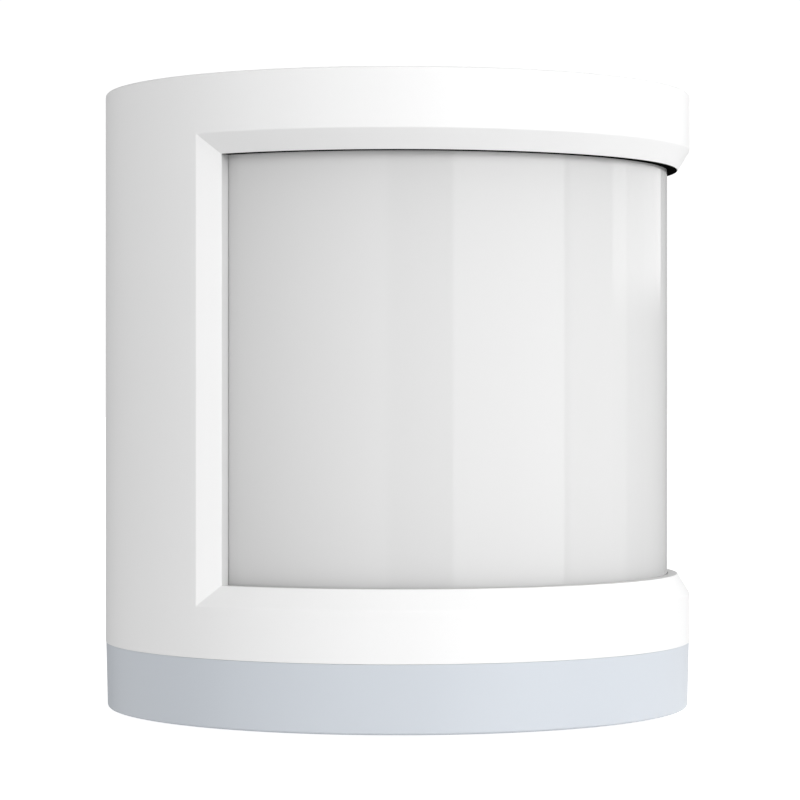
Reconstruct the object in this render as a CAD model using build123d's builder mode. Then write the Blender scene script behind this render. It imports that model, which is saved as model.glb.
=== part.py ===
# Small cylindrical motion sensor, powered by one coin cell.
# Millimetres, +Z up, origin at the middle of the adhesive pad's underside.
# The window faces -Y, and the reset pinhole is on the opposite side.
import math
import os

from build123d import *

os.makedirs("parts", exist_ok=True)

# ---- outside form ----------------------------------------------------------------
shell_radius = 15.0
total_height = 31.43
shell_wall = 1.1
roof_thickness = 1.2
pad_standout = 0.2
band_top = 3.48
band_top_radius = 14.97
band_bottom_radius = 14.89
seam_gap = 0.04
top_rounding = 0.15
foot_rounding = 0.15

# ---- window, about the -Y direction ----------------------------------------------
window_middle = -90
bevel_outer_span = 152.0
bevel_inner_span = 143.4
bevel_inner_radius = 14.385
bevel_inner_bottom = 6.99
bevel_inner_top = 27.57
bevel_outer_top = 28.57

# ---- lens, light seal and retainer -----------------------------------------------
lens_radius = 13.86
lens_thickness = 0.5
lens_span = 160
lens_bottom = 6.5
lens_top = 28.3
facet_pitch = 12.8
facet_count = 12
groove_width = 0.22
groove_rows = 4
seal_height = 0.6
seal_span = 146
press_in = 0.02
retainer_wall = 0.4
retainer_rim = 1.1
retainer_gap = 0.04
retainer_span = 158
retainer_opening_span = 148

# ---- bayonet between base cover and shell ----------------------------------------
bayonet_lead = 36.0
bayonet_ring_radius = 13.3
bayonet_ring_top = 6.4
slot_radius = 14.0
slot_clearance = 0.15
skirt_outer_radius = 13.1
skirt_inner_radius = 12.5
skirt_top = 6.2
skirt_span = 68
groove_outer_radius = 13.9
groove_floor = 1.5
skirt_middles = (90, 210, 330)
lug_radius = 13.8
lug_thickness = 1.0
lug_arc = 12
lug_height = 4.8
slot_arc = 42
slot_end_room = 1.0
slot_run_out = 0.3

# ---- base cover and adhesive pad -------------------------------------------------
floor_top = 2.0
pad_recess_top = 0.8
pad_radius = 12.5
pad_bore_radius = 7.7
pad_clearance = 0.1
coin_slot_length = 11.0
coin_slot_width = 1.8
coin_slot_depth = 1.0

# ---- coin cell -------------------------------------------------------------------
cell_radius = 12.25
cell_height = 5.0
cell_bottom = 2.05
cell_wall = 0.3
cell_rounding = 0.28
crimp_width = 1.2
cap_radius = 10.7
cap_rounding = 0.25
cap_standout = 0.1

# ---- chassis and boards ----------------------------------------------------------
chassis_radius = 12.8
chassis_bottom = 7.9
chassis_thickness = 1.0
board_radius = 12.5
board_bottom = 9.9
board_thickness = 0.8
boss_reach = 12.02
boss_angles = (45, 135)
boss_radius = 1.7
boss_top = 14.0
rib_length = 2.4
rib_width = 2.0
rib_offset = 1.1
screw_radius = 0.8
screw_length = 4.6
screw_head_radius = 1.4
screw_head_height = 0.6
screw_cross_length = 1.5
screw_cross_width = 0.35
pilot_end = 0.8
hold_down_radius = 0.7
hold_down_reach = 11.4
hold_down_gap = 0.1
post_radius = 1.0
peg_places = ((-8, -7), (8, -7), (-4.5, 10), (4.5, 10))
peg_radius = 0.45
peg_standout = 0.4
side_contact_angle = 15
contact_thickness = 0.2
contact_width = 2.8
side_contact_width = 3.0
side_contact_bottom = 4.6
leaf_slot_x = -9.0

# ---- infrared detector -----------------------------------------------------------
detector_height = 17.3
detector_back = 3.0
header_radius = 4.6
can_radius = 4.15
can_length = 4.2
lead_circle = 2.54
lead_angles = (-45, 135, 225)
lead_radius = 0.225
lead_hole_radius = 0.4
spacer_thickness = 1.5
header_thickness = 0.5
can_wall = 0.25
can_rounding = 0.35
can_window = (4.0, 3.0)
filter_size = (5.0, 4.0)
filter_thickness = 0.4
element_size = (1.0, 2.0)
element_depth = 1.2
element_spread = 1.1

# ---- sensor board and its header -------------------------------------------------
sensor_board_width = 16.0
sensor_board_top = 27.1
header_pin_xs = (-3.81, -1.27, 1.27, 3.81)
header_pin_y = 5.3
header_pin_height = 12.1
pin_size = 0.4
carrier_size = (10.0, 1.6)
carrier_height = 0.9

# ---- reset switch ----------------------------------------------------------------
button_height = 11.6
button_radius = 0.6
button_clearance = 0.05
button_travel = 0.25
pinhole_radius = 0.6
switch_front = 9.6
switch_back = 12.0
switch_top = 12.5
switch_width = 4.2
switch_bore_depth = 1.6
plunger_standout = 1.3

# ---- derived sizes ---------------------------------------------------------------
shell_inner_radius = shell_radius - shell_wall
shell_bottom = band_top + seam_gap
lens_inner_radius = lens_radius - lens_thickness
chassis_top = chassis_bottom + chassis_thickness
board_top = board_bottom + board_thickness
cell_top = cell_bottom + cell_height


def polar_point(radius, angle):
    """Point of the ground plane at a radius and an angle in degrees."""
    turn = math.radians(angle)
    return (radius * math.cos(turn), radius * math.sin(turn))


def ring_sector(inner, outer, middle, span):
    """Flat piece of a ring, span degrees wide about the angle middle."""
    start = middle - span / 2
    with BuildSketch() as sector:
        with BuildLine():
            outer_edge = CenterArc((0, 0), outer, start, span)
            inner_edge = CenterArc((0, 0), inner, start, span)
            Line(outer_edge @ 0, inner_edge @ 0)
            Line(outer_edge @ 1, inner_edge @ 1)
        make_face()
    return sector.sketch


def bayonet_bar(inner, outer, thickness, start_angle, start_height, arc):
    """Bar of rectangular section that climbs along the bayonet's helix."""
    middle_radius = (inner + outer) / 2
    with BuildPart() as bar:
        with BuildLine() as path:
            Helix(pitch=bayonet_lead, height=bayonet_lead * arc / 360, radius=middle_radius)
        with BuildSketch(Plane(origin=path.line @ 0, x_dir=(1, 0, 0), z_dir=path.line % 0)):
            Rectangle(outer - inner, thickness)
        sweep(is_frenet=True)
    return bar.part.rotate(Axis.Z, start_angle).translate((0, 0, start_height))


def facing_front(depth):
    """Plane at y = depth whose sketches face out of the window."""
    return Plane.XZ.offset(-depth)


def save(piece, name):
    """Labels a finished piece and writes it to its own file."""
    piece.label = name
    export_step(piece, "parts/" + name + ".step")


# ---- cutters for the shell -------------------------------------------------------
# The window's opening widens outwards: sloping head, sill and jambs that meet in mitres.
bevel_slope_out = (bevel_outer_top - bevel_inner_top) / (shell_radius - bevel_inner_radius)
cutter_radius = shell_radius + 1.0
cutter_spread = bevel_slope_out * (cutter_radius - bevel_inner_radius)
inner_corner = polar_point(bevel_inner_radius, bevel_inner_span / 2 - 90)
outer_corner = polar_point(shell_radius, bevel_outer_span / 2 - 90)
corner_run = (outer_corner[0] - inner_corner[0], outer_corner[1] - inner_corner[1])
run_out = 3
far_corner = (inner_corner[0] + run_out * corner_run[0], inner_corner[1] + run_out * corner_run[1])

with BuildPart() as window_cutter:
    with BuildSketch(Plane.XZ):
        with BuildLine():
            Polyline(
                (bayonet_ring_radius, bevel_inner_bottom),
                (bevel_inner_radius, bevel_inner_bottom),
                (cutter_radius, bevel_inner_bottom - cutter_spread),
                (cutter_radius, bevel_inner_top + cutter_spread),
                (bevel_inner_radius, bevel_inner_top),
                (bayonet_ring_radius, bevel_inner_top),
                close=True,
            )
        make_face()
    revolve(axis=Axis.Z)
    with BuildSketch():
        with BuildLine():
            Polyline(
                (0, 0),
                inner_corner,
                far_corner,
                (2 * shell_radius, far_corner[1]),
                (2 * shell_radius, -2 * shell_radius),
                (-2 * shell_radius, -2 * shell_radius),
                (-2 * shell_radius, far_corner[1]),
                (-far_corner[0], far_corner[1]),
                (-inner_corner[0], inner_corner[1]),
                close=True,
            )
        make_face()
    extrude(amount=total_height, mode=Mode.INTERSECT)

seal_outline = ring_sector(
    shell_inner_radius - press_in,
    bevel_inner_radius - press_in,
    window_middle,
    seal_span,
)

# ---- housing shell: one white moulding, closed at the top ------------------------
with BuildPart() as housing_shell:
    with BuildSketch(Plane.XZ):
        with BuildLine():
            Polyline(
                (bayonet_ring_radius, shell_bottom),
                (shell_radius, shell_bottom),
                (shell_radius, total_height),
                (0, total_height),
                (0, total_height - roof_thickness),
                (shell_inner_radius, total_height - roof_thickness),
                (shell_inner_radius, bayonet_ring_top),
                (bayonet_ring_radius, bayonet_ring_top),
                close=True,
            )
        make_face()
    revolve(axis=Axis.Z)
    fillet(housing_shell.edges().filter_by(GeomType.CIRCLE).group_by(Axis.Z)[-1], top_rounding)
    # two screw bosses on the back wall, each carried by a rib
    for angle in boss_angles:
        with BuildSketch(Plane.XY.offset(chassis_top)):
            with Locations(polar_point(boss_reach, angle)):
                Circle(boss_radius)
            with Locations(polar_point(boss_reach + rib_offset, angle)):
                Rectangle(rib_length, rib_width, rotation=angle)
        extrude(amount=boss_top - chassis_top)
    with BuildSketch(Plane.XY.offset(chassis_top)):
        with Locations([polar_point(boss_reach, angle) for angle in boss_angles]):
            Circle(screw_radius + press_in)
    extrude(amount=boss_top - chassis_top - pilot_end, mode=Mode.SUBTRACT)
    add(window_cutter.part, mode=Mode.SUBTRACT)
    # pocket of the light seal above the window
    with BuildSketch(Plane.XY.offset(bevel_inner_top)):
        add(seal_outline)
    extrude(amount=seal_height, mode=Mode.SUBTRACT)
    # three climbing slots for the lugs of the base cover
    for middle in skirt_middles:
        slot_top_angle = middle + lug_arc / 2 + slot_end_room
        slot_top_height = lug_height + bayonet_lead * (lug_arc / 2 + slot_end_room) / 360
        slot = bayonet_bar(
            bayonet_ring_radius - slot_run_out,
            slot_radius,
            lug_thickness + 2 * slot_clearance,
            slot_top_angle - slot_arc,
            slot_top_height - bayonet_lead * slot_arc / 360,
            slot_arc,
        )
        add(slot, mode=Mode.SUBTRACT)
    # reset pinhole through the back wall
    with BuildSketch(facing_front(cutter_radius)):
        with Locations((0, button_height)):
            Circle(pinhole_radius)
    extrude(amount=2 * shell_wall + 1, mode=Mode.SUBTRACT)
save(housing_shell.part, "housing_shell")

# ---- Fresnel lens: curved milky sheet, grooved on its inner face -----------------
lens_outline = ring_sector(lens_inner_radius, lens_radius, window_middle, lens_span)
with BuildPart() as fresnel_lens:
    with BuildSketch(Plane.XY.offset(lens_bottom)):
        add(lens_outline)
    extrude(amount=lens_top - lens_bottom)
    first_groove = window_middle - facet_pitch * (facet_count - 1) / 2
    groove_places = [
        polar_point(lens_inner_radius, first_groove + facet_pitch * index) for index in range(facet_count)
    ]
    with BuildSketch(Plane.XY.offset(lens_bottom)):
        for index, place in enumerate(groove_places):
            with Locations(place):
                Rectangle(groove_width, groove_width, rotation=first_groove + facet_pitch * index + 45)
    extrude(amount=lens_top - lens_bottom, mode=Mode.SUBTRACT)
    row_pitch = (lens_top - lens_bottom) / groove_rows
    row_heights = [lens_bottom + row_pitch * row for row in range(1, groove_rows)]
    with BuildSketch(Plane.XZ):
        for row_height in row_heights:
            with Locations((lens_inner_radius, row_height)):
                Rectangle(groove_width, groove_width, rotation=45)
    revolve(axis=Axis.Z, mode=Mode.SUBTRACT)
save(fresnel_lens.part, "fresnel_lens")

# ---- black light seal: soft strip pressed in above the lens ----------------------
with BuildPart() as top_light_seal:
    with BuildSketch(Plane.XY.offset(bevel_inner_top)):
        add(seal_outline)
    extrude(amount=seal_height)
save(top_light_seal.part, "top_light_seal")

# ---- lens retainer: thin frame behind the lens's edges ---------------------------
retainer_outer = lens_inner_radius - retainer_gap
frame_outline = ring_sector(retainer_outer - retainer_wall, retainer_outer, window_middle, retainer_span)
frame_opening = ring_sector(
    retainer_outer - 2 * retainer_wall,
    lens_radius,
    window_middle,
    retainer_opening_span,
)
with BuildPart() as lens_retainer:
    with BuildSketch(Plane.XY.offset(lens_bottom)):
        add(frame_outline)
    extrude(amount=lens_top - lens_bottom)
    with BuildSketch(Plane.XY.offset(lens_bottom + retainer_rim)):
        add(frame_opening)
    extrude(amount=lens_top - lens_bottom - 2 * retainer_rim, mode=Mode.SUBTRACT)
save(lens_retainer.part, "lens_retainer")

# ---- chassis: plate between the cell bay and the boards --------------------------
with BuildPart() as chassis:
    with BuildSketch(Plane.XY.offset(chassis_bottom)):
        Circle(chassis_radius)
        with Locations(polar_point(chassis_radius + 0.1, side_contact_angle)):
            Rectangle(1.4, side_contact_width + 0.6, rotation=side_contact_angle, mode=Mode.SUBTRACT)
        with Locations((leaf_slot_x, 0)):
            Rectangle(0.6, contact_width + 0.6, mode=Mode.SUBTRACT)
        with Locations([polar_point(boss_reach, angle) for angle in boss_angles]):
            Circle(screw_radius + 0.1, mode=Mode.SUBTRACT)
    extrude(amount=chassis_thickness)
    # pads that keep the cell down
    with BuildSketch(Plane.XY.offset(cell_top + hold_down_gap)):
        with PolarLocations(hold_down_reach, 3, start_angle=75):
            Circle(hold_down_radius)
    extrude(amount=chassis_bottom - cell_top - hold_down_gap)
    # posts under the main board, with pegs through it
    with BuildSketch(Plane.XY.offset(chassis_top)):
        with Locations(peg_places):
            Circle(post_radius)
    extrude(amount=board_bottom - chassis_top)
    with BuildSketch(Plane.XY.offset(board_bottom)):
        with Locations(peg_places):
            Circle(peg_radius)
    extrude(amount=board_thickness + peg_standout)
save(chassis.part, "chassis")

# ---- two self-tapping screws from the cell bay up into the shell -----------------
with BuildPart() as chassis_screws:
    screw_places = [polar_point(boss_reach, angle) for angle in boss_angles]
    with BuildSketch(Plane.XY.offset(chassis_bottom - screw_head_height)):
        with Locations(screw_places):
            Circle(screw_head_radius)
    extrude(amount=screw_head_height)
    with BuildSketch(Plane.XY.offset(chassis_bottom)):
        with Locations(screw_places):
            Circle(screw_radius)
    extrude(amount=screw_length)
    with BuildSketch(Plane.XY.offset(chassis_bottom - screw_head_height)):
        with Locations(screw_places):
            Rectangle(screw_cross_length, screw_cross_width)
            Rectangle(screw_cross_width, screw_cross_length)
    extrude(amount=screw_cross_width, mode=Mode.SUBTRACT)
    fillet(chassis_screws.edges().filter_by(GeomType.CIRCLE).group_by(Axis.Z)[0], screw_head_height / 3)
save(chassis_screws.part, "chassis_screws")

# ---- main board: round, notched around the bosses and the side contact -----------
with BuildPart() as main_board:
    with BuildSketch(Plane.XY.offset(board_bottom)):
        Circle(board_radius)
        with Locations([polar_point(boss_reach, angle) for angle in boss_angles]):
            Circle(boss_radius + 0.25, mode=Mode.SUBTRACT)
        with Locations(polar_point(chassis_radius, side_contact_angle)):
            Rectangle(1.2, side_contact_width + 0.4, rotation=side_contact_angle, mode=Mode.SUBTRACT)
        with Locations((leaf_slot_x, 0)):
            Rectangle(0.5, contact_width + 0.4, mode=Mode.SUBTRACT)
        with Locations(peg_places):
            Circle(peg_radius + 0.08, mode=Mode.SUBTRACT)
        with Locations([(x, header_pin_y) for x in header_pin_xs]):
            Circle(lead_hole_radius, mode=Mode.SUBTRACT)
    extrude(amount=board_thickness)
save(main_board.part, "main_board")

# ---- sensor board: stands up behind the window and carries the detector ----------
lead_places = [
    (lead_circle * math.cos(math.radians(a)), detector_height + lead_circle * math.sin(math.radians(a)))
    for a in lead_angles
]
sensor_board_bottom = board_top + 0.2
sensor_board_height = sensor_board_top - sensor_board_bottom
with BuildPart() as sensor_board:
    with BuildSketch(facing_front(detector_back + board_thickness)):
        with Locations((0, sensor_board_bottom + sensor_board_height / 2)):
            RectangleRounded(sensor_board_width, sensor_board_height, board_thickness)
        with Locations(lead_places):
            Circle(lead_hole_radius, mode=Mode.SUBTRACT)
        with Locations([(x, header_pin_height) for x in header_pin_xs]):
            Circle(lead_hole_radius, mode=Mode.SUBTRACT)
    extrude(amount=board_thickness)
save(sensor_board.part, "sensor_board")

# ---- right-angle header: four pins and their carrier -----------------------------
with BuildPart() as header_pins:
    with BuildSketch(Plane.XY.offset(board_bottom - pin_size)):
        with Locations([(x, header_pin_y) for x in header_pin_xs]):
            Rectangle(pin_size, pin_size)
    extrude(amount=header_pin_height + pin_size / 2 - board_bottom + pin_size)
    with BuildSketch(facing_front(header_pin_y - pin_size / 2)):
        with Locations([(x, header_pin_height) for x in header_pin_xs]):
            Rectangle(pin_size, pin_size)
    extrude(amount=header_pin_y - pin_size / 2 - detector_back + pin_size)
save(header_pins.part, "header_pins")

with BuildPart() as pin_carrier:
    with BuildSketch(Plane.XY.offset(board_top)):
        with Locations((0, header_pin_y)):
            RectangleRounded(*carrier_size, pin_size / 2)
    extrude(amount=carrier_height)
    with BuildSketch(Plane.XY.offset(board_top)):
        with Locations([(x, header_pin_y) for x in header_pin_xs]):
            Rectangle(pin_size, pin_size)
    extrude(amount=carrier_height, mode=Mode.SUBTRACT)
save(pin_carrier.part, "pin_carrier")

# ---- infrared detector: spacer, header, can, filter, element and leads -----------
spacer_front = detector_back - spacer_thickness
with BuildPart() as detector_spacer:
    with BuildSketch(facing_front(detector_back)):
        with Locations((0, detector_height)):
            Circle(header_radius + 0.2)
        with Locations(lead_places):
            Circle(lead_radius + 0.05, mode=Mode.SUBTRACT)
    extrude(amount=detector_back - spacer_front)
save(detector_spacer.part, "detector_spacer")

header_front = spacer_front - header_thickness
with BuildPart() as detector_header:
    with BuildSketch(facing_front(spacer_front)):
        with Locations((0, detector_height)):
            Circle(header_radius)
        with Locations((header_radius, detector_height)):
            Rectangle(1.2, 0.9)
    extrude(amount=spacer_front - header_front)
save(detector_header.part, "detector_header")

can_front = header_front - can_length
with BuildPart() as detector_can:
    with BuildSketch(facing_front(header_front)):
        with Locations((0, detector_height)):
            Circle(can_radius)
    extrude(amount=can_length)
    fillet(detector_can.edges().filter_by(GeomType.CIRCLE).group_by(Axis.Y)[0], can_rounding)
    with BuildSketch(facing_front(header_front)):
        with Locations((0, detector_height)):
            Circle(can_radius - can_wall)
    extrude(amount=can_length - can_wall, mode=Mode.SUBTRACT)
    with BuildSketch(facing_front(header_front)):
        with Locations((0, detector_height)):
            Rectangle(*can_window)
    extrude(amount=can_length, mode=Mode.SUBTRACT)
save(detector_can.part, "detector_can")

with BuildPart() as detector_filter:
    with BuildSketch(facing_front(can_front + can_wall + filter_thickness)):
        with Locations((0, detector_height)):
            Rectangle(*filter_size)
    extrude(amount=filter_thickness)
save(detector_filter.part, "detector_filter")

with BuildPart() as detector_element:
    with BuildSketch(facing_front(header_front)):
        with Locations((-element_spread, detector_height), (element_spread, detector_height)):
            Rectangle(*element_size)
    extrude(amount=element_depth)
save(detector_element.part, "detector_element")

lead_end = detector_back + board_thickness + 0.6
with BuildPart() as detector_leads:
    with BuildSketch(facing_front(lead_end)):
        with Locations(lead_places):
            Circle(lead_radius)
    extrude(amount=lead_end - spacer_front)
save(detector_leads.part, "detector_leads")

# ---- light sensor and status light at the front of the main board ----------------
light_sensor_place = (-3, -10)
light_sensor_height = 0.7
with BuildPart() as light_sensor:
    with BuildSketch(Plane.XY.offset(board_top)):
        with Locations(light_sensor_place):
            Rectangle(2.0, 2.0)
    extrude(amount=light_sensor_height)
    with BuildSketch(Plane.XY.offset(board_top + light_sensor_height)):
        with Locations(light_sensor_place):
            Circle(0.7)
    extrude(amount=0.2)
save(light_sensor.part, "light_sensor")

status_light_place = (3, -10)
status_foot_height = 0.4
with BuildPart() as status_light:
    with BuildSketch(Plane.XY.offset(board_top)):
        with Locations(status_light_place):
            Rectangle(2.0, 1.25)
    extrude(amount=status_foot_height)
    with BuildSketch(Plane.XY.offset(board_top + status_foot_height)):
        with Locations(status_light_place):
            Rectangle(1.3, 1.05)
    extrude(amount=0.5, taper=8)
save(status_light.part, "status_light")

# ---- parts soldered to the main board --------------------------------------------
with BuildPart() as microcontroller:
    with BuildSketch(Plane.XY.offset(board_top)):
        with Locations((0, -4.6)):
            Rectangle(5.0, 5.0)
    extrude(amount=0.85)
    chamfer(microcontroller.edges().group_by(Axis.Z)[-1], 0.1)
save(microcontroller.part, "microcontroller")

with BuildPart() as radio_shield:
    with BuildSketch(Plane.XY.offset(board_top)):
        with Locations((-3.4, 7.9)):
            RectangleRounded(6.4, 3.2, 0.3)
    extrude(amount=1.3)
    with BuildSketch(Plane.XY.offset(board_top)):
        with Locations((-3.4, 7.9)):
            Rectangle(6.0, 2.8)
    extrude(amount=1.1, mode=Mode.SUBTRACT)
save(radio_shield.part, "radio_shield")

with BuildPart() as radio_chip:
    with BuildSketch(Plane.XY.offset(board_top)):
        with Locations((-4.2, 7.9)):
            Rectangle(2.4, 2.4)
        with Locations((-1.6, 7.9)):
            Rectangle(1.6, 1.2)
    extrude(amount=0.75)
save(radio_chip.part, "radio_chip")

with BuildPart() as chip_antenna:
    with BuildSketch(Plane.XY.offset(board_top)):
        with Locations((3.6, 8.2)):
            Rectangle(5.0, 1.4)
    extrude(amount=1.0)
save(chip_antenna.part, "chip_antenna")

with BuildPart() as crystal:
    with BuildSketch(Plane.XY.offset(board_top)):
        with Locations((-7.6, -2.2)):
            RectangleRounded(2.5, 3.2, 0.25)
    extrude(amount=0.7)
save(crystal.part, "crystal")

with BuildPart() as supply_capacitor:
    with BuildSketch(Plane.XY.offset(board_top)):
        with Locations((7.6, -1.6)):
            Rectangle(2.8, 3.5)
    extrude(amount=1.9)
    chamfer(supply_capacitor.edges().group_by(Axis.Z)[-1], 0.2)
save(supply_capacitor.part, "supply_capacitor")

with BuildPart() as chip_capacitors:
    with BuildSketch(Plane.XY.offset(board_top)):
        with Locations((0, -8.4)):
            with GridLocations(1.6, 1, 3, 1):
                Rectangle(0.6, 1.1)
        with Locations((4.6, 0.6)):
            with GridLocations(1.4, 1, 2, 1):
                Rectangle(0.6, 1.1)
    extrude(amount=0.6)
save(chip_capacitors.part, "chip_capacitors")

with BuildPart() as chip_resistors:
    with BuildSketch(Plane.XY.offset(board_top)):
        with Locations((-4.4, -3.6)):
            with GridLocations(1, 1.7, 1, 3):
                Rectangle(1.1, 0.6)
        with Locations((4.4, -3.6)):
            with GridLocations(1, 1.7, 1, 3):
                Rectangle(1.1, 0.6)
    extrude(amount=0.4)
save(chip_resistors.part, "chip_resistors")

# ---- battery contacts: spring leaf on the cell's cap, spring finger on its side ---
leaf_top = chassis_bottom
tongue_bottom = cell_top + 0.05
with BuildPart() as contact_negative:
    with BuildSketch(Plane.XZ):
        with BuildLine():
            Polyline(
                (-9.1, board_top + 0.4),
                (-9.1, leaf_top - contact_thickness),
                (3.6, leaf_top - contact_thickness),
                (3.6, leaf_top - 0.25),
                (3.5, tongue_bottom + 0.2),
                (0.5, tongue_bottom),
                (-2.5, tongue_bottom),
                (-2.5, tongue_bottom + contact_thickness),
                (0.5, tongue_bottom + contact_thickness),
                (3.3, tongue_bottom + 0.4),
                (3.4, leaf_top - contact_thickness - 0.02),
                (3.8, leaf_top - contact_thickness - 0.02),
                (3.8, leaf_top),
                (-9.1 + contact_thickness, leaf_top),
                (-9.1 + contact_thickness, board_top + 0.4),
                close=True,
            )
        make_face()
    extrude(amount=contact_width / 2, both=True)
save(contact_negative.part, "contact_negative")

side_contact_reach = cell_radius + 0.05 + contact_thickness / 2
with BuildPart() as contact_positive:
    with BuildSketch(Plane.XY.offset(side_contact_bottom)):
        with Locations(polar_point(side_contact_reach, side_contact_angle)):
            Rectangle(contact_thickness, side_contact_width, rotation=side_contact_angle)
    extrude(amount=board_top + 0.4 - side_contact_bottom)
save(contact_positive.part, "contact_positive")

# ---- reset switch: body on the board, plunger behind the pinhole -----------------
with BuildPart() as switch_body:
    with BuildSketch(facing_front(switch_back)):
        with Locations((0, (board_top + switch_top) / 2)):
            Rectangle(switch_width, switch_top - board_top)
    extrude(amount=switch_back - switch_front)
    chamfer(switch_body.edges().filter_by(Axis.Z), 0.2)
    with BuildSketch(facing_front(switch_back)):
        with Locations((0, button_height)):
            Circle(button_radius + button_clearance)
    extrude(amount=switch_bore_depth, mode=Mode.SUBTRACT)
save(switch_body.part, "switch_body")

with BuildPart() as reset_plunger:
    with BuildSketch(facing_front(switch_back + plunger_standout)):
        with Locations((0, button_height)):
            Circle(button_radius)
    extrude(amount=plunger_standout + switch_bore_depth - button_travel - 0.1)
    fillet(reset_plunger.edges().filter_by(GeomType.CIRCLE).group_by(Axis.Y)[-1], 0.2)
save(reset_plunger.part, "reset_plunger")

# ---- coin cell: steel can, insulating ring, lid and the active pellet ------------
can_top = cell_top - cap_standout
crimp_radius = cell_radius - crimp_width
with BuildPart() as cell_can:
    with BuildSketch(Plane.XZ):
        with BuildLine():
            Polyline(
                (0, cell_bottom),
                (cell_radius, cell_bottom),
                (cell_radius, can_top),
                (crimp_radius, can_top),
                (crimp_radius, can_top - cell_wall),
                (cell_radius - cell_wall, can_top - cell_wall),
                (cell_radius - cell_wall, cell_bottom + cell_wall),
                (0, cell_bottom + cell_wall),
                close=True,
            )
        make_face()
    revolve(axis=Axis.Z)
    outer_rims = cell_can.edges().filter_by(GeomType.CIRCLE).group_by(SortBy.RADIUS)[-1]
    fillet(outer_rims, cell_rounding)
save(cell_can.part, "cell_can")

with BuildPart() as cell_gasket:
    with BuildSketch(Plane.XZ):
        with BuildLine():
            Polyline(
                (cap_radius, cell_bottom + cell_wall),
                (cell_radius - cell_wall, cell_bottom + cell_wall),
                (cell_radius - cell_wall, can_top - cell_wall),
                (crimp_radius, can_top - cell_wall),
                (crimp_radius, can_top - 0.05),
                (cap_radius, can_top - 0.05),
                close=True,
            )
        make_face()
    revolve(axis=Axis.Z)
save(cell_gasket.part, "cell_gasket")

with BuildPart() as cell_lid:
    with BuildSketch(Plane.XY.offset(cell_top - cell_wall)):
        Circle(cap_radius)
    extrude(amount=cell_wall)
    fillet(cell_lid.edges().filter_by(GeomType.CIRCLE).group_by(Axis.Z)[-1], cap_rounding)
save(cell_lid.part, "cell_lid")

with BuildPart() as cell_pellet:
    with BuildSketch(Plane.XY.offset(cell_bottom + cell_wall)):
        Circle(cap_radius)
    extrude(amount=cell_height - 2 * cell_wall)
save(cell_pellet.part, "cell_pellet")

# ---- base cover: tinted moulding with three climbing lugs on its skirt -----------
with BuildPart() as base_cover:
    with BuildSketch(Plane.XZ):
        with BuildLine():
            Polyline(
                (0, pad_standout),
                (pad_bore_radius - 2 * pad_clearance, pad_standout),
                (pad_bore_radius - 2 * pad_clearance, pad_recess_top),
                (pad_radius + pad_clearance, pad_recess_top),
                (pad_radius + pad_clearance, pad_standout),
                (band_bottom_radius, pad_standout),
                (band_top_radius, band_top),
                (groove_outer_radius, band_top),
                (groove_outer_radius, groove_floor),
                (skirt_outer_radius, groove_floor),
                (skirt_outer_radius, band_top),
                (skirt_inner_radius, band_top),
                (skirt_inner_radius, floor_top),
                (0, floor_top),
                close=True,
            )
        make_face()
    revolve(axis=Axis.Z)
    bottom_rim = base_cover.edges().filter_by(GeomType.CIRCLE).group_by(Axis.Z)[0].sort_by(SortBy.RADIUS)[-1]
    fillet(bottom_rim, foot_rounding)
    for middle in skirt_middles:
        skirt_outline = ring_sector(skirt_inner_radius, skirt_outer_radius, middle, skirt_span)
        with BuildSketch(Plane.XY.offset(band_top)):
            add(skirt_outline)
        extrude(amount=skirt_top - band_top)
        lug = bayonet_bar(
            (skirt_inner_radius + skirt_outer_radius) / 2,
            lug_radius,
            lug_thickness,
            middle - lug_arc / 2,
            lug_height - bayonet_lead * lug_arc / 720,
            lug_arc,
        )
        add(lug)
    with BuildSketch(Plane.XY.offset(pad_standout)):
        SlotOverall(coin_slot_length, coin_slot_width)
    extrude(amount=coin_slot_depth, mode=Mode.SUBTRACT)
save(base_cover.part, "base_cover")

# ---- adhesive pad: foam ring in the recess under the base cover ------------------
with BuildPart() as adhesive_pad:
    with BuildSketch():
        Circle(pad_radius)
        Circle(pad_bore_radius, mode=Mode.SUBTRACT)
    extrude(amount=pad_recess_top)
save(adhesive_pad.part, "adhesive_pad")
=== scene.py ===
import math

import bmesh
import bpy
from mathutils import Matrix, Vector


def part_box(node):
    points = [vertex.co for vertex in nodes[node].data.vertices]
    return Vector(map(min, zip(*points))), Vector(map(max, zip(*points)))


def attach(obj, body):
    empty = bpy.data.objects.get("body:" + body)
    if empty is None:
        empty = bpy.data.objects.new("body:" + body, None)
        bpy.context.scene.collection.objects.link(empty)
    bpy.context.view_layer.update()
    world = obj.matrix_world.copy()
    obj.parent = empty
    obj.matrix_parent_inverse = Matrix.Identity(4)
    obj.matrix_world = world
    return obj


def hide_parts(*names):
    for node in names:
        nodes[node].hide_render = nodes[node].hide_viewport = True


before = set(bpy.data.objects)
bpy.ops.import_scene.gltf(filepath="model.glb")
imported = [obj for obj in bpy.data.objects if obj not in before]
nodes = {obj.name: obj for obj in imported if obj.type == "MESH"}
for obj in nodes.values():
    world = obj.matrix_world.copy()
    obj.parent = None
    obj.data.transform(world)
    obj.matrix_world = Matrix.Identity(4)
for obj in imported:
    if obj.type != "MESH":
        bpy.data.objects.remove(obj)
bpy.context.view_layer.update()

bpy.ops.object.select_all(action="DESELECT")

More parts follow.
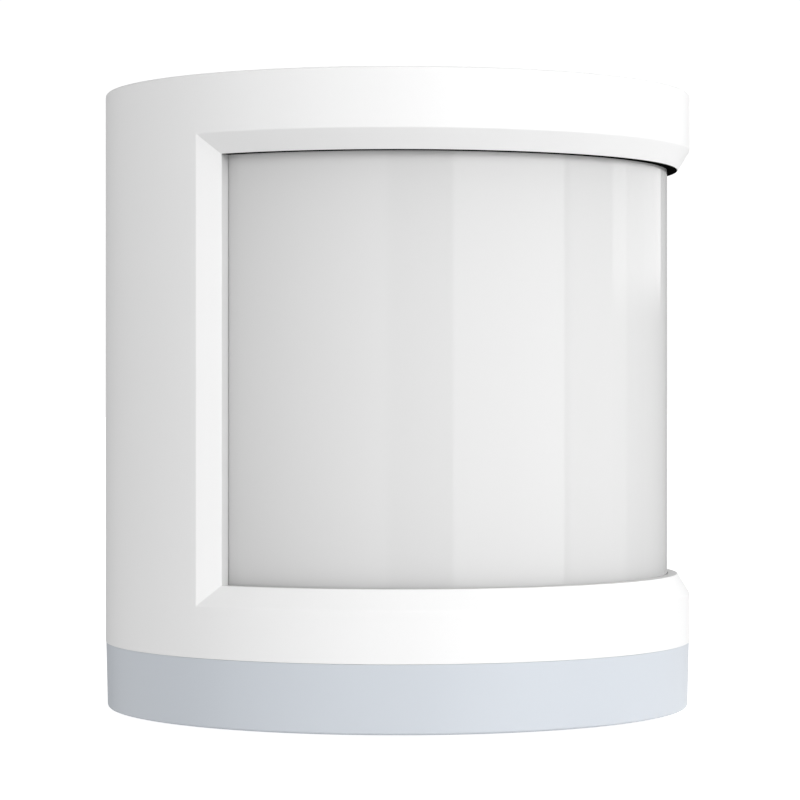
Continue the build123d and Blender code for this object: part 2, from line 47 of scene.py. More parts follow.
# ---- Studio ---------------------------------------------------------------------------------
# The sensor stands on a glowing white table in a light tent. Soft panels hang round the tent,
# each given by its turns from the camera's side, its lowest and highest angle and its brightness.
MM = 0.001
camera_turn = -36
camera_distance = 153.2 * MM
camera_height = 15.96 * MM
camera_lens = 133.5
camera_shift = (0.003, -0.003)
sensor_width = 36.0
sweep_glow = 1.05
tent_glow = 0.26
table_size = 4.0
table_glow = 0.58
table_shade = 0.1
floor_glow = 0.75
floor_shade = 0.7
panel_edge = 0.6
lowest = -40
tent_panels = (
    ("all round", -180, 180, lowest, 55, 0.18),
    ("front left", -70, -3.4, lowest, 42, 0.83),
    ("front", -3.4, 23, lowest, 42, 0.22),
    ("front above", -3.4, 23, 10, 42, 0.63),
    ("front right", 23, 73.5, lowest, 32, 1.35),
    ("front right above", 23, 77, 12, 32, 3.3),
    ("front right top", 23, 77, 32, 55, 0.4),
    ("right", 77, 112, lowest, 55, 0.4),
    ("back right", 102, 150, 2, 55, 0.75),
    ("back right low", 84, 180, lowest, -6, 1.0),
    ("back left", -144, -96, lowest, 42, 0.15),
    ("back left low", -180, -96, lowest, -6, 0.3),
)


class Field:
    """A value or colour that varies over a surface. Arithmetic on it adds Math nodes."""

    def __init__(self, tree, socket=None):
        self.tree, self.socket = tree, socket

    def node(self, kind, settings=None, sockets=None, output=0):
        """Adds a node: its settings first, then its sockets' values and links."""
        made = self.tree.nodes.new("ShaderNode" + kind)
        for name, value in (settings or {}).items():
            if name == "stops":
                ramp = made.color_ramp
                while len(ramp.elements) < len(value):
                    ramp.elements.new(0.5)
                for element, (place, colour) in zip(ramp.elements, value):
                    element.position, element.color = place, colour
            else:
                setattr(made, name, value)
        for name, value in (sockets or {}).items():
            if isinstance(value, Field):
                self.tree.links.new(value.socket, made.inputs[name])
            else:
                made.inputs[name].default_value = value
        return Field(self.tree, made.outputs[output] if made.outputs else None)

    def math(self, operation, first, second=0.0):
        return self.node("Math", {"operation": operation}, {0: first, 1: second})

    def __add__(self, other):
        return self.math("ADD", self, other)

    __radd__ = __add__

    def __mul__(self, other):
        return self.math("MULTIPLY", self, other)

    __rmul__ = __mul__

    def __sub__(self, other):
        return self.math("SUBTRACT", self, other)

    def __rsub__(self, other):
        return self.math("SUBTRACT", other, self)

    def __truediv__(self, other):
        return self.math("DIVIDE", self, other)

    def parts(self):
        """The three numbers of a place or direction."""
        split = self.node("SeparateXYZ", None, {0: self})
        return [Field(self.tree, output) for output in split.socket.node.outputs]

    def between(self, low, high):
        """Runs smoothly from 0 at low to 1 at high."""
        limits = {"Value": self, "From Min": low, "From Max": high}
        return self.node("MapRange", {"interpolation_type": "SMOOTHSTEP"}, limits)

    def inside(self, low, high, edge):
        """1 between low and high, 0 outside, with edges that fade over the given width."""
        return self.between(low - edge, low + edge) * (1 - self.between(high - edge, high + edge))

    def tint(self, low_colour, high_colour):
        """Colour that goes from the first to the second as the value goes from 0 to 1."""
        return self.node("Mix", {"data_type": "RGBA"}, {0: self, 6: low_colour, 7: high_colour}, 2)

    def noise(self, place, grain, detail=2.0):
        """Soft random field whose lumps are about grain millimetres across."""
        return self.node("TexNoise", None, {"Vector": place, "Scale": 1 / (grain * MM), "Detail": detail})


def around(turn, reach, height):
    """Point at a turn in degrees about the sensor's axis from its window side."""
    angle = math.radians(turn)
    return Vector((math.sin(angle) * reach, -math.cos(angle) * reach, height))


def add_camera():
    lens = bpy.data.cameras.new("studio_camera")
    lens.lens = camera_lens
    lens.sensor_width = sensor_width
    lens.clip_start = 5 * MM
    lens.shift_x, lens.shift_y = camera_shift
    camera = bpy.data.objects.new("studio_camera", lens)
    bpy.context.collection.objects.link(camera)
    camera.location = around(camera_turn, camera_distance, camera_height)
    camera.rotation_euler = (math.radians(90), 0, math.radians(camera_turn))
    bpy.context.scene.camera = camera


def add_tent():
    """Light from all round for the sensor, plain white behind it for the camera."""
    world = bpy.data.worlds.new("light_tent")
    world.use_nodes = True
    world.node_tree.nodes.clear()
    field = Field(world.node_tree)
    x, y, z = field.node("TexCoord", output="Generated").parts()
    turn = field.math("ARCTAN2", x, y * -1) * (180 / math.pi) - camera_turn
    rise = field.math("ARCSINE", z) * (180 / math.pi)
    glow = tent_glow
    for _, left, right, low, high, brightness in tent_panels:
        glow = turn.inside(left, right, panel_edge) * rise.inside(low, high, panel_edge) * brightness + glow
    tent = field.node("Background", None, {"Color": (1, 1, 1, 1), "Strength": glow})
    sweep = field.node("Background", None, {"Color": (1, 1, 1, 1), "Strength": sweep_glow})
    seen = field.node("LightPath", output="Is Camera Ray")
    mixed = field.node("MixShader", None, {0: seen, 1: tent, 2: sweep})
    field.node("OutputWorld", None, {"Surface": mixed})
    bpy.context.scene.world = world


def add_table(name, height, shade, glow, camera_sees):
    """The floor is two sheets: one that the camera sees, one that lights the sensor from below."""
    bpy.ops.mesh.primitive_plane_add(size=table_size, location=(0, 0, height))
    table = bpy.context.object
    table.name = name
    bpy.ops.object.transform_apply(location=True)
    material = bpy.data.materials.new(name)
    material.use_nodes = True
    surface = material.node_tree.nodes["Principled BSDF"]
    surface.inputs["Base Color"].default_value = (shade, shade, shade, 1)
    surface.inputs["Roughness"].default_value = 0.9
    surface.inputs["Specular IOR Level"].default_value = 0.0
    surface.inputs["Emission Color"].default_value = (1, 1, 1, 1)
    surface.inputs["Emission Strength"].default_value = glow
    table.data.materials.append(material)
    table.visible_camera = camera_sees
    table.visible_glossy = False
    for ray in ("visible_diffuse", "visible_transmission", "visible_shadow"):
        setattr(table, ray, not camera_sees)
    bpy.ops.object.select_all(action="DESELECT")


add_camera()
add_tent()
add_table("pale_floor", -0.01 * MM, floor_shade, floor_glow, True)
add_table("table_light", -0.02 * MM, table_shade, table_glow, False)
bpy.context.scene.view_settings.view_transform = "Standard"


# ---- Housing shell --------------------------------------------------------------------------
# One white ABS moulding, closed at the top. Its window has a sloping frame that meets in mitres,
# and its foot has three climbing slots. It is laid out as a flat slab and then wrapped round.
def to_mm(point):
    return Vector(point) / MM


shell_low, shell_high = (to_mm(corner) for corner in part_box("housing_shell"))
lens_low, lens_high = (to_mm(corner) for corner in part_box("fresnel_lens"))
seal_low, seal_high = (to_mm(corner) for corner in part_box("top_light_seal"))
shell_radius = shell_high.x
shell_top, shell_bottom = shell_high.z, shell_low.z
column_step = 2
wall = 1.1
roof = 1.2
frame_width = 1.0
frame_depth = 0.615
window_out_turn = 76
window_in_turn = 71.7
window_head = seal_low.z
window_sill = window_head - 20.58
pocket_rise = 0.6
ring_depth = 1.7
ring_top = 6.4
slot_rise_per_turn = 36.0
slot_turns = (180, -60, 60)
slot_depth = 1.0
slot_height = 1.41
slot_middle = 4.8
soft_edge = 0.05
seam_edge = 0.015
boss_turns = (135, -135)
boss_reach = 12.02
boss_radius = 1.7
boss_base = 8.9
boss_top = 14.0
pilot_radius = 0.82
pilot_top = 13.2
rib_width = 2.0
rib_inset = 1.1
pinhole_radius = 0.6
pinhole_height = 11.6
drill_sides = 48
crown_edge = 0.14
roof_rings = (1.5, 4.0)
lip_radius = shell_radius - frame_depth


def along(turn, radius=None):
    """Length along the unrolled wall for a turn in degrees from the window's middle."""
    return math.radians(turn) * (radius or shell_radius)


def edit(piece):
    bpy.ops.object.select_all(action="DESELECT")
    bpy.context.view_layer.objects.active = piece
    piece.select_set(True)
    bpy.ops.object.mode_set(mode="EDIT")


def leave_edit():
    bpy.ops.object.mode_set(mode="OBJECT")


def choose(piece, kind, accepts):
    """Selects only those faces, edges or verts whose middle and normal are accepted."""
    bpy.context.tool_settings.mesh_select_mode = (kind == "verts", kind == "edges", kind == "faces")
    bpy.ops.mesh.select_all(action="DESELECT")
    shape = bmesh.from_edit_mesh(piece.data)
    shape.normal_update()
    for element in getattr(shape, kind):
        if kind == "verts":
            middle, normal = element.co, element.normal
        else:
            middle = sum((v.co for v in element.verts), Vector()) / len(element.verts)
            normal = element.normal if kind == "faces" else Vector()
        if accepts(middle, normal, element):
            element.select_set(True)
    bmesh.update_edit_mesh(piece.data)


def near(a, b, gap=0.002):
    return abs(a - b) < gap


def cut_at(axis, place):
    """Cuts the selected faces by the plane axis = place."""
    point, normal = [0, 0, 0], [0, 0, 0]
    point[axis], normal[axis] = place, 1
    bpy.ops.mesh.bisect(plane_co=point, plane_no=normal, threshold=1e-5)


def slab(name, left, right, front, back, low, high):
    """Flat block to be shaped and wrapped: x runs along the wall and y into it."""
    bpy.ops.mesh.primitive_cube_add(size=1)
    piece = bpy.context.object
    piece.name = piece.data.name = name
    piece.scale = (right - left, back - front, high - low)
    piece.location = ((left + right) / 2, (front + back) / 2, (low + high) / 2)
    bpy.ops.object.transform_apply(location=True, rotation=False, scale=True)
    return piece


def cut_columns(piece, first, last):
    """Cuts the slab into upright columns between two turns, so that it can bend."""
    edit(piece)
    for turn in range(first, last, column_step):
        bpy.ops.mesh.select_all(action="SELECT")
        cut_at(0, along(turn))
    leave_edit()


def wrap(piece):
    """Bends the slab about the sensor's axis; its y = 0 face becomes the shell's outer radius."""
    length = max(v.co.x for v in piece.data.vertices) - min(v.co.x for v in piece.data.vertices)
    bend = piece.modifiers.new("wrap", "SIMPLE_DEFORM")
    bend.deform_method = "BEND"
    bend.deform_axis = "Z"
    bend.angle = length / shell_radius
    apply_modifiers(piece)
    piece.data.transform(Matrix.Translation((0, -shell_radius, 0)))


def apply_modifiers(piece):
    bpy.ops.object.select_all(action="DESELECT")
    bpy.context.view_layer.objects.active = piece
    piece.select_set(True)
    for modifier in list(piece.modifiers):
        bpy.ops.object.modifier_apply(modifier=modifier.name)


def carve(piece, tool, operation="DIFFERENCE"):
    """Takes the tool out of the piece, or joins it on, and removes the tool."""
    cut = piece.modifiers.new("carve", "BOOLEAN")
    cut.operation = operation
    cut.solver = "EXACT"
    cut.object = tool
    apply_modifiers(piece)
    bpy.data.objects.remove(tool)


def merge_cuts(piece, gap=0.0015):
    """Joins the doubled points and drops the slivers that cuts and joins leave behind."""
    edit(piece)
    bpy.ops.mesh.select_all(action="SELECT")
    bpy.ops.mesh.remove_doubles(threshold=gap)
    bpy.ops.mesh.dissolve_degenerate(threshold=gap)
    leave_edit()


def slanted_bar(name, low_turn, high_turn, front, back, middle_turn, middle_height, height):
    """Flat bar that climbs with the bayonet's slope."""
    bar = slab(name, along(low_turn), along(high_turn), front, back, -height / 2, height / 2)
    for vertex in bar.data.vertices:
        turn = math.degrees(vertex.co.x / shell_radius)
        vertex.co.z += middle_height + slot_rise_per_turn * (turn - middle_turn) / 360
    return bar


def smooth(piece, angle):
    """Smooth shading, with the broad faces kept true and corners over the angle left crisp."""
    bpy.ops.object.select_all(action="DESELECT")
    bpy.context.view_layer.objects.active = piece
    piece.select_set(True)
    bpy.ops.object.shade_smooth_by_angle(angle=math.radians(angle))
    even = piece.modifiers.new("even_normals", "WEIGHTED_NORMAL")
    even.keep_sharp = True
    apply_modifiers(piece)


def settle(piece, body, slot, *replaced):
    """Brings a finished piece to metres, hangs it on the body it rides on and hides the parts it stands for.
    """
    piece.data.transform(Matrix.Scale(MM, 4))
    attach(piece, body)
    if replaced:
        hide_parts(*replaced)
    bpy.ops.object.select_all(action="DESELECT")


def grey(level, warm=0.0):
    return (level + warm, level, level - warm, 1)


def new_finish(name):
    """Empty material, its field, and the place on the piece in metres."""
    material = bpy.data.materials.new(name)
    material.use_nodes = True
    material.node_tree.nodes.clear()
    field = Field(material.node_tree)
    return material, field, field.node("TexCoord", output="Object")


def coat(field, colour, roughness, relief=None, height=0.0, fixed=None):
    """Principled surface: colour, roughness and relief may vary, the fixed sockets don't."""
    sockets = {"Base Color": colour, "Roughness": roughness}
    if relief:
        sockets["Normal"] = field.node("Bump", None, {"Height": relief, "Distance": height * MM})
    sockets.update(fixed or {})
    shader = field.node("BsdfPrincipled", None, sockets)
    field.node("OutputMaterial", None, {"Surface": shader})


def wear(piece, material):
    """Gives a piece its material in place of whatever it had."""
    piece.data.materials.clear()
    piece.data.materials.append(material)


def moulded(name, colour, roughness, texture=0.12, depth=0.0012, fixed=None):
    """Moulded plastic: fine sparked texture, faint cloudiness, slightly uneven gloss."""
    material, field, place = new_finish(name)
    grain = field.noise(place, texture, 3)
    cloud = field.noise(place, 6.0)
    shade = tuple(channel * 0.97 for channel in colour[:3]) + (1,)
    tone = (cloud * 0.7 + grain * 0.3).tint(shade, colour)
    coat(field, tone, roughness - 0.05 + grain * 0.1, grain, depth, fixed)
    return material


def flat_window(piece):
    """Window through the flat slab: sloping frame in front, straight jamb behind."""
    out_x, in_x = along(window_out_turn), along(window_in_turn)
    sill_out, head_out = window_sill - frame_width, window_head + frame_width
    for axis, place in ((0, -out_x), (0, out_x), (2, sill_out), (2, head_out)):
        choose(piece, "faces", lambda m, n, f: n.y < -0.9)
        cut_at(axis, place)
    middle = (window_sill + window_head) / 2
    choose(piece, "faces", lambda m, n, f: n.y < -0.9 and near(m.x, 0, 1) and near(m.z, middle, 1))
    bpy.ops.mesh.inset(thickness=frame_width, depth=-frame_depth)
    bpy.ops.transform.resize(value=(in_x / (out_x - frame_width), 1, 1), center_override=(0, 0, 0))
    bpy.ops.mesh.delete(type="FACE")
    for axis, place in ((0, -in_x), (0, in_x), (2, window_sill), (2, window_head + pocket_rise)):
        choose(piece, "faces", lambda m, n, f: n.y > 0.9)
        cut_at(axis, place)
    choose(piece, "faces", lambda m, n, f: n.y > 0.9 and near(m.x, 0, 1) and near(m.z, middle, 1))
    bpy.ops.mesh.delete(type="FACE")
    choose(piece, "edges", lambda m, n, e: len(e.link_faces) == 1)
    bpy.ops.mesh.bridge_edge_loops()
    # the frame's edges are not quite sharp
    corner_depths = (0, frame_depth)
    choose(
        piece,
        "edges",
        lambda m, n, e: all(
            abs(v.co.x) < out_x + 0.01
            and sill_out - 0.01 < v.co.z < head_out + 0.01
            and any(near(v.co.y, depth) for depth in corner_depths)
            for v in e.verts
        )
        and near(e.verts[0].co.y, e.verts[1].co.y),
    )
    bpy.ops.mesh.bevel(offset=soft_edge, segments=2, affect="EDGES")


def round_bar(middle, radius, height):
    """Upright bar, used as a boss or as a drill."""
    bpy.ops.mesh.primitive_cylinder_add(vertices=drill_sides, radius=radius, depth=height, location=middle)
    bar = bpy.context.object
    bpy.ops.object.transform_apply(location=True)
    return bar


def make_shell():
    half = along(180)
    shell = slab("housing", -half, half, 0, wall, shell_bottom, shell_top)
    edit(shell)
    flat_window(shell)
    # thicker ring at the foot
    choose(shell, "faces", lambda m, n, f: n.y > 0.9)
    cut_at(2, ring_top)
    choose(shell, "faces", lambda m, n, f: n.y > 0.9 and m.z < ring_top)
    bpy.ops.mesh.extrude_region_move(TRANSFORM_OT_translate={"value": (0, ring_depth - wall, 0)})
    leave_edit()
    for slot_turn in slot_turns:
        for lap in (-360, 0, 360):
            top_turn = slot_turn + 7 + lap
            if abs(top_turn - 21) > 180 + 21:
                continue
            bar = slanted_bar(
                "slot", top_turn - 42, top_turn, slot_depth, ring_depth + 0.3,
                slot_turn + lap, slot_middle, slot_height,
            )
            carve(shell, bar)
    edit(shell)
    # open the ends, where the slab closes on itself, and the top
    choose(shell, "faces", lambda m, n, f: near(abs(m.x), half) and abs(n.x) > 0.9)
    bpy.ops.mesh.delete(type="FACE")
    choose(shell, "faces", lambda m, n, f: n.z > 0.9 and near(m.z, shell_top))
    bpy.ops.mesh.delete(type="FACE")
    choose(shell, "verts", lambda m, n, v: near(m.y, wall) and near(m.z, shell_top))
    bpy.ops.transform.translate(value=(0, 0, -roof))
    leave_edit()
    cut_columns(shell, column_step - 180, 180)
    wrap(shell)
    edit(shell)
    bpy.ops.mesh.select_all(action="SELECT")
    bpy.ops.mesh.remove_doubles(threshold=0.002)
    # roof: outer disc, inner disc
    for height in (shell_top, shell_top - roof):
        choose(
            shell, "edges",
            lambda m, n, e: all(near(v.co.z, height) for v in e.verts) and len(e.link_faces) == 1,
        )
        bpy.ops.mesh.edge_face_add()
        for thickness in roof_rings:
            bpy.ops.mesh.inset(thickness=thickness)
    bpy.ops.mesh.select_all(action="SELECT")
    bpy.ops.mesh.normals_make_consistent(inside=False)
    choose(
        shell, "edges",
        lambda m, n, e: all(
            near(v.co.z, shell_top) and near(v.co.xy.length, shell_radius, 0.01) for v in e.verts
        ),
    )
    bpy.ops.mesh.bevel(offset=crown_edge, segments=4, affect="EDGES")
    choose(
        shell, "edges",
        lambda m, n, e: all(
            near(v.co.z, shell_bottom) and near(v.co.xy.length, shell_radius, 0.01) for v in e.verts
        ),
    )
    bpy.ops.mesh.bevel(offset=seam_edge, segments=2, affect="EDGES")
    leave_edit()
    # bosses for the chassis screws, each carried by a rib on the back wall
    for turn in boss_turns:
        middle = (boss_base + boss_top) / 2
        carve(shell, round_bar(around(turn, boss_reach, middle), boss_radius, boss_top - boss_base), "UNION")
        side = rib_width / 2
        rib = slab("rib", 0.6, 2 * boss_radius, -side, side, boss_base + 0.2, boss_top - 0.2)
        rib.data.transform(Matrix.Rotation(math.radians(turn - 90), 4, "Z"))
        rib.data.transform(Matrix.Translation(around(turn, boss_reach - rib_inset, 0)))
        carve(shell, rib, "UNION")
        depth = pilot_top - boss_base + 0.2
        carve(shell, round_bar(around(turn, boss_reach, pilot_top - depth / 2), pilot_radius, depth))
    # pinhole over the reset switch, with a countersunk rim
    for reach, low_radius, high_radius, depth in (
        (shell_radius - wall / 2, pinhole_radius, pinhole_radius, 2.0),
        (shell_radius, pinhole_radius - 0.05, pinhole_radius + 0.15, 0.2),
    ):
        bpy.ops.mesh.primitive_cone_add(
            vertices=drill_sides, radius1=low_radius, radius2=high_radius, depth=depth,
            location=(0, reach, pinhole_height), rotation=(math.radians(-90), 0, 0),
        )
        drill = bpy.context.object
        bpy.ops.object.transform_apply(location=True, rotation=True)
        carve(shell, drill)
    merge_cuts(shell)
    return shell


def shell_white():
    """Satin ABS: fine sparked grain. Inside the window's lip it is rougher, and its colour is painted darker
    as shade for the window's jamb.
    """
    material, field, place = new_finish("shell_white")
    x, y, z = place.parts()
    reach = field.math("SQRT", x * x + y * y) / MM
    inside = 1 - reach.between(lip_radius - 0.03, lip_radius)
    grain = field.noise(place, 0.12, 3)
    cloud = field.noise(place, 6.0)
    tone = (cloud * 0.7 + grain * 0.3).tint(grey(0.865), grey(0.895))
    # painted shade: everything inside the lip radius, the window's jamb and the whole inner face, is darkened
    # to grey 0.66
    tone = inside.tint(tone, grey(0.66))
    coat(field, tone, 0.36 + grain * 0.1 + inside * 0.15, grain, 0.0012)
    return material


housing = make_shell()
smooth(housing, 24)
wear(housing, shell_white())
settle(housing, "housing", "shell_white", "housing_shell")


# ---- Lens -----------------------------------------------------------------------------------
# Half a millimetre of milky polyethylene, moulded flat and curved into the window. Its inner
# face is cut into upright lenslets and rows; it slides down behind the frame.
lens_front = shell_radius - lens_high.x / math.sin(math.radians(80))
lens_sheet = 0.5
lens_reach = 80
lenslet_pitch = 12.8
lenslet_count = 12
lenslet_rows = 4
groove_half = 0.1
sheet_edge = 0.04
wide_fade = -0.36
close_fade = -2.9


def make_lens():
    """Sheet with V grooves on its back, wrapped to its place behind the frame."""
    back = lens_front + lens_sheet
    reach = along(lens_reach)
    lens = slab("lens", -reach, reach, lens_front, back, lens_low.z, lens_high.z)
    upright = [along(lenslet_pitch * (index - (lenslet_count - 1) / 2)) for index in range(lenslet_count)]
    level = [
        lens_low.z + (lens_high.z - lens_low.z) * row / lenslet_rows for row in range(1, lenslet_rows)
    ]
    edit(lens)
    for axis, places in ((0, upright), (2, level)):
        for place in places:
            for step in (-groove_half, 0, groove_half):
                choose(lens, "faces", lambda m, n, f: n.y > 0.9)
                cut_at(axis, place + step)
            choose(lens, "verts", lambda m, n, v: near(m.y, back) and near(m[axis], place))
            bpy.ops.transform.translate(value=(0, -groove_half, 0))
    choose(lens, "edges", lambda m, n, e: all(near(v.co.y, lens_front) for v in e.verts))
    bpy.ops.mesh.bevel(offset=sheet_edge, segments=2, affect="EDGES")
    leave_edit()
    cut_columns(lens, column_step - lens_reach, lens_reach)
    wrap(lens)
    return lens


def painted_frame_shade(field, gap, broad, tight):
    """Painted shade: 1 well away from the frame, less beside it; gap is the distance in millimetres. The tight
    share fades within half a millimetre, and where it is negative it is a painted highlight on the sheet's
    edge."""
    wide_shade = field.math("EXPONENT", gap * wide_fade) * broad
    close_shade = field.math("EXPONENT", gap * close_fade) * tight
    return 1 - wide_shade - close_shade


def lens_milk():
    """Milk white and glossy; painted shade darkens it beside the frame, and a painted highlight lightens the
    last tenths under the head.
    """
    material, field, place = new_finish("lens_milk")
    x, y, z = place.parts()
    turn = field.math("ARCTAN2", x, y * -1) * (180 / math.pi)
    jamb_gap = (window_in_turn - field.math("ABSOLUTE", turn)) * along(1, lens_high.x)
    # painted shade beside the head, the sill and the jambs; at the head the negative tight share is a painted
    # highlight
    shade = painted_frame_shade(field, z / -MM + window_head, 0.17, -0.15)
    shade = shade * painted_frame_shade(field, z / MM - window_sill, 0.12, 0.2)
    shade = shade * painted_frame_shade(field, jamb_gap, 0.11, 0.02)
    column = field.math("FLOOR", turn / lenslet_pitch)
    odd = field.node("TexWhiteNoise", {"noise_dimensions": "1D"}, {"W": column})
    grain = field.noise(place, 0.15, 3)
    cloud = field.noise(place, 8.0)
    tone = (cloud * 0.7 + odd * 0.3).tint(grey(0.712), grey(0.728))
    coat(field, shade.tint(grey(0.0), tone), 0.02 + grain * 0.02, grain, 0.00006, {"IOR": 1.5})
    return material


lens = make_lens()
smooth(lens, 24)
wear(lens, lens_milk())
settle(lens, "housing", "lens_milk", "fresnel_lens")


# ---- Light seal -----------------------------------------------------------------------------
# Soft black strip pressed into the gap above the lens, so that light comes in only through it.
# Its underside shows as a hairline, and as a crescent where the window turns away; this near-black, shineless
# strip also stands in as painted shade for the gap under the window's head.
def make_seal():
    reach = along(window_in_turn) - 0.02
    front = frame_depth + 0.025
    strip = slab("light_seal", -reach, reach, front, lens_front - 0.01, seal_low.z + 0.005, seal_high.z - 0.04)
    edit(strip)
    choose(strip, "verts", lambda m, n, v: near(m.y, front) and m.z > seal_low.z + 0.1)
    bpy.ops.transform.translate(value=(0, 0, seal_low.z + 0.03 - (seal_high.z - 0.04)))
    leave_edit()
    cut_columns(strip, -70, 71)
    wrap(strip)
    return strip


light_seal = make_seal()
smooth(light_seal, 30)
# near black with no shine: the strip's black is partly its own colour and partly painted shade for the gap
# under the head
wear(light_seal, moulded("seal_black", grey(0.004), 0.9, 0.08, 0.004, {"Specular IOR Level": 0.0}))
settle(light_seal, "housing", "seal_black", "top_light_seal")


# ---- Base cover -----------------------------------------------------------------------------
# Pale blue-grey moulding that closes the cell bay. Three arcs of skirt carry climbing lugs that
# screw into the shell's slots; underneath are the pad's recess and a slot for a coin.
base_low, base_high = (to_mm(corner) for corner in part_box("base_cover"))
band_top = shell_bottom - 0.008
band_radius = 14.97
foot_radius = 14.89
skirt_radii = (12.5, 13.1)
groove_radius = 13.9
groove_floor = 1.5
cell_floor = 2.0
recess_radii = (7.5, 12.6)
recess_top = 0.8
hub_radius = 3.0
skirt_reach = 34
lug_front = 1.2
lug_back = 2.1
lug_reach = 6
lug_height = 1.09
coin_slot = (11.0, 1.8, 1.0)
foot_edge = 0.13
ring_sides = 180


def turned(name, outline, closed=False):
    """Body turned from an outline of (radius, height) points, one ring drawn from the last."""
    radius, height = outline[0]
    bpy.ops.mesh.primitive_circle_add(vertices=ring_sides, radius=radius, location=(0, 0, height))
    piece = bpy.context.object
    piece.name = piece.data.name = name
    bpy.ops.object.transform_apply(location=True)
    edit(piece)
    bpy.ops.mesh.select_all(action="SELECT")
    for next_radius, next_height in outline[1:] + (outline[:1] if closed else ()):
        lift = (0, 0, next_height - height)
        bpy.ops.mesh.extrude_edges_move(TRANSFORM_OT_translate={"value": lift})
        scale = next_radius / radius
        bpy.ops.transform.resize(value=(scale, scale, 1), center_override=(0, 0, 0))
        radius, height = next_radius, next_height
    if closed:
        bpy.ops.mesh.select_all(action="SELECT")
        bpy.ops.mesh.remove_doubles(threshold=0.001)
    else:
        for end_radius, end_height in (outline[0], outline[-1]):
            choose(
                piece, "edges",
                lambda m, n, e: len(e.link_faces) == 1 and all(near(v.co.z, end_height) for v in e.verts),
            )
            bpy.ops.mesh.edge_face_add()
            bpy.ops.mesh.inset(thickness=end_radius / 3)
    bpy.ops.mesh.select_all(action="SELECT")
    bpy.ops.mesh.normals_make_consistent(inside=False)
    leave_edit()
    return piece


def round_rims(piece, rims, offset, segments=2):
    """Rounds the rings at the given (radius, height) points."""
    edit(piece)
    choose(
        piece, "edges",
        lambda m, n, e: any(
            all(near(v.co.xy.length, rim[0], 0.01) and near(v.co.z, rim[1], 0.01) for v in e.verts)
            for rim in rims
        ),
    )
    bpy.ops.mesh.bevel(offset=offset, segments=segments, affect="EDGES")
    leave_edit()


def make_base():
    outline = (
        (hub_radius, cell_floor),
        (skirt_radii[0], cell_floor),
        (skirt_radii[0], band_top),
        (skirt_radii[1], band_top),
        (skirt_radii[1], groove_floor),
        (groove_radius, groove_floor),
        (groove_radius, band_top),
        (band_radius, band_top),
        (foot_radius, base_low.z),
        (recess_radii[1], base_low.z),
        (recess_radii[1], recess_top),
        (recess_radii[0], recess_top),
        (recess_radii[0], base_low.z),
        (hub_radius, base_low.z),
    )
    base = turned("base", outline)
    round_rims(base, ((foot_radius, base_low.z),), foot_edge, 3)
    round_rims(base, ((band_radius, band_top),), seam_edge)
    edit(base)
    choose(
        base, "faces",
        lambda m, n, f: n.z > 0.9
        and near(m.z, band_top)
        and skirt_radii[0] < m.xy.length < skirt_radii[1]
        and any(
            around(turn, 1, 0).xy.angle(m.xy) < math.radians(skirt_reach)
            for turn in slot_turns
        ),
    )
    rise = (0, 0, base_high.z - band_top)
    bpy.ops.mesh.extrude_region_move(TRANSFORM_OT_translate={"value": rise})
    leave_edit()
    for turn in slot_turns:
        lug = slanted_bar(
            "lug", turn - lug_reach, turn + lug_reach, lug_front, lug_back, turn, slot_middle, lug_height
        )
        cut_columns(lug, turn - lug_reach + column_step, turn + lug_reach)
        wrap(lug)
        carve(base, lug, "UNION")
    length, width, depth = coin_slot
    bpy.ops.mesh.primitive_cube_add(size=1, location=(0, 0, base_low.z), scale=(length, width, 2 * depth))
    coin_cut = bpy.context.object
    bpy.ops.object.transform_apply(location=True, scale=True)
    edit(coin_cut)
    choose(coin_cut, "edges", lambda m, n, e: near(e.verts[0].co.x, e.verts[1].co.x)
           and near(e.verts[0].co.y, e.verts[1].co.y))
    bpy.ops.mesh.bevel(offset=width / 2 - 0.01, segments=8, affect="EDGES")
    leave_edit()
    carve(base, coin_cut)
    merge_cuts(base)
    return base


base = make_base()
smooth(base, 30)
wear(base, moulded("base_tint", (0.606, 0.644, 0.693, 1), 0.4))
settle(base, "base", "base_tint", "base_cover")


# ---- Adhesive pad ---------------------------------------------------------------------------
# Die-cut ring of acrylic foam in the recess, two tenths of a millimetre proud of the base.
pad_low, pad_high = (to_mm(corner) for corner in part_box("adhesive_pad"))
pad_bore = 7.7
pad_edge = 0.06

pad = turned(
    "pad",
    (
        (pad_bore, pad_high.z),
        (pad_high.x, pad_high.z),
        (pad_high.x, pad_low.z),
        (pad_bore, pad_low.z),
    ),
    closed=True,
)
round_rims(pad, ((pad_high.x, pad_low.z), (pad_bore, pad_low.z)), pad_edge)
smooth(pad, 30)
wear(pad, moulded("adhesive_foam", grey(0.5, -0.01), 0.75, 0.25, 0.02))
settle(pad, "base", "adhesive_foam", "adhesive_pad")


# ---- Coin cell ------------------------------------------------------------------------------
# Nickel-plated steel can, crimped over an insulating ring that holds the lid. The lid is pressed
# with a stepped rim, and the can's floor with a shallow ring.
can_low, can_high = (to_mm(corner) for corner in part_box("cell_can"))
lid_low, lid_high = (to_mm(corner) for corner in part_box("cell_lid"))
sheet = 0.3
crimp = 1.2
centre_radius = 3.0
floor_ring = (8.82, 8.9425, 9.31, 9.4325)
floor_ring_rise = 0.08
can_corner = 0.3
lid_step = 1.5


def pressed_steel():
    """Plated steel, turned bright in fine rings round the axis, with a few faint scuffs."""
    material, field, place = new_finish("cell_steel")
    x, y, z = place.parts()
    reach = field.math("SQRT", x * x + y * y) / MM
    rings = field.node("TexNoise", {"noise_dimensions": "1D"}, {"W": reach * 9.0, "Detail": 3.0})
    scuffs = field.noise(field.node("Mapping", None, {"Vector": place, "Scale": (0.2, 1, 1)}), 0.5, 4)
    tone = (rings * 0.6 + scuffs * 0.4).tint((0.52, 0.52, 0.51, 1), (0.72, 0.72, 0.70, 1))
    coat(field, tone, 0.18 + scuffs * 0.2, rings + scuffs * 0.3, 0.004, {"Metallic": 1.0})
    return material


